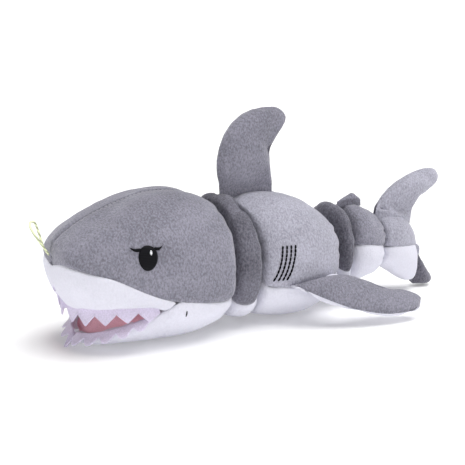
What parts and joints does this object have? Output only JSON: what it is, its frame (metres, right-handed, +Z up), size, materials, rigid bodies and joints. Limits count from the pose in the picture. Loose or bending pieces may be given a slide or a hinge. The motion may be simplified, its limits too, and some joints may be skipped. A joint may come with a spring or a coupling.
{
  "type": "plush shark toy",
  "caption": "Stuffed plush shark lying on its belly, with an open toothed mouth, padded fins and a body that bends at sewn creases.",
  "frame": {"origin": "centre of the footprint on the floor the toy lies on, half way between nose and tail tip, without the hang loop", "axes": "nose towards -Y, tail towards +Y, the shark's left side towards +X, +Z up"},
  "size_m": [0.1582, 0.3707, 0.1656],
  "materials": {
    "grey_plush": "short pile",
    "dark_plush": "short pile",
    "light_plush": "short pile",
    "white_plush": "short pile",
    "pink_fleece": "fleece",
    "felt_lilac": "felt",
    "black_thread": "satin embroidery",
    "white_thread": "satin embroidery",
    "loop_green": "thin cord",
    "fill_white": "loose fibre",
    "bulb_plastic": "matte",
    "white_plastic": "matte"
  },
  "bodies": {
    "torso": {"torso_back_left": "light_plush", "torso_back_right": "light_plush", "torso_belly_panel": "white_plush", "torso_stuffing": "fill_white", "gill_stitches": "black_thread", "squeaker_bulb": "bulb_plastic", "squeaker_plug": "white_plastic", "squeaker_reed": "bulb_plastic", "neck_crease_gather": "dark_plush", "waist_crease_gather": "dark_plush"},
    "neck": {"neck_back_panel": "dark_plush", "neck_belly_panel": "white_plush", "neck_stuffing": "fill_white", "head_crease_gather": "dark_plush"},
    "head": {"head_panel_left": "grey_plush", "head_panel_right": "grey_plush", "upper_jaw_panel": "white_plush", "throat_panel": "white_plush", "palate_lining": "pink_fleece", "upper_teeth": "felt_lilac", "head_stuffing": "fill_white", "eye_left": "black_thread", "eye_right": "black_thread", "eye_highlights": "white_thread", "eyelashes": "black_thread", "mouth_corner_tacks": "black_thread", "hang_loop": "loop_green", "jaw_hinge_gusset": "white_plush"},
    "jaw": {"lower_jaw_panel": "white_plush", "mouth_floor_lining": "pink_fleece", "lower_teeth": "felt_lilac", "jaw_stuffing": "fill_white"},
    "dorsal_fin": {"dorsal_fin_left": "grey_plush", "dorsal_fin_right": "grey_plush", "dorsal_fin_stuffing": "fill_white"},
    "pectoral_left": {"pectoral_left_top": "grey_plush", "pectoral_left_underside": "white_plush", "pectoral_left_stuffing": "fill_white"},
    "pectoral_right": {"pectoral_right_top": "grey_plush", "pectoral_right_underside": "white_plush", "pectoral_right_stuffing": "fill_white"},
    "waist": {"waist_back_panel": "dark_plush", "waist_belly_panel": "white_plush", "waist_stuffing": "fill_white", "hip_crease_gather": "dark_plush"},
    "hip": {"hip_back_panel": "grey_plush", "hip_belly_panel": "white_plush", "hip_stuffing": "fill_white", "second_dorsal_fin": "dark_plush", "tail_crease_gather": "grey_plush"},
    "tail": {"tail_back_panel": "light_plush", "tail_belly_panel": "white_plush", "tail_stuffing": "fill_white", "upper_lobe_left": "light_plush", "upper_lobe_right": "light_plush", "upper_lobe_stuffing": "fill_white", "lower_lobe_left": "dark_plush", "lower_lobe_right": "dark_plush", "lower_lobe_stuffing": "fill_white"}
  },
  "joints": [
    {"name": "neck_bend", "type": "hinge", "parent": "torso", "child": "neck", "pos_m": [0, -0.0255, 0.05], "axis": [0, 0, 1], "range_deg": [-12, 12], "stiffness_Nm_per_rad": 0.25, "deforming": ["neck_crease_gather"]},
    {"name": "head_bend", "type": "hinge", "parent": "neck", "child": "head", "pos_m": [0, -0.051, 0.05], "axis": [0, 0, 1], "range_deg": [-12, 12], "stiffness_Nm_per_rad": 0.25, "deforming": ["head_crease_gather"]},
    {"name": "jaw_open", "type": "hinge", "parent": "head", "child": "jaw", "pos_m": [0, -0.1045, 0.028], "axis": [1, 0, 0], "range_deg": [-5, 8], "stiffness_Nm_per_rad": 0.12, "deforming": ["jaw_hinge_gusset"]},
    {"name": "dorsal_flop", "type": "hinge", "parent": "torso", "child": "dorsal_fin", "pos_m": [0, -0.02, 0.1045], "axis": [0, 1, 0], "range_deg": [-20, 20], "stiffness_Nm_per_rad": 0.06},
    {"name": "pectoral_left_flap", "type": "hinge", "parent": "torso", "child": "pectoral_left", "pos_m": [0.0457, 0.014, 0.03475], "axis": [0, 1, 0], "range_deg": [-12, 5], "stiffness_Nm_per_rad": 0.06},
    {"name": "pectoral_right_flap", "type": "hinge", "parent": "torso", "child": "pectoral_right", "pos_m": [-0.0457, 0.014, 0.03475], "axis": [0, -1, 0], "range_deg": [-12, 5], "stiffness_Nm_per_rad": 0.06},
    {"name": "waist_bend", "type": "hinge", "parent": "torso", "child": "waist", "pos_m": [0, 0.052, 0.05], "axis": [0, 0, 1], "range_deg": [-12, 12], "stiffness_Nm_per_rad": 0.12, "deforming": ["waist_crease_gather"]},
    {"name": "hip_bend", "type": "hinge", "parent": "waist", "child": "hip", "pos_m": [0, 0.0705, 0.05], "axis": [0, 0, 1], "range_deg": [-12, 12], "stiffness_Nm_per_rad": 0.12, "deforming": ["hip_crease_gather"]},
    {"name": "tail_bend", "type": "hinge", "parent": "hip", "child": "tail", "pos_m": [0, 0.1085, 0.05], "axis": [0, 0, 1], "range_deg": [-15, 15], "stiffness_Nm_per_rad": 0.08, "deforming": ["tail_crease_gather"]}
  ]
}
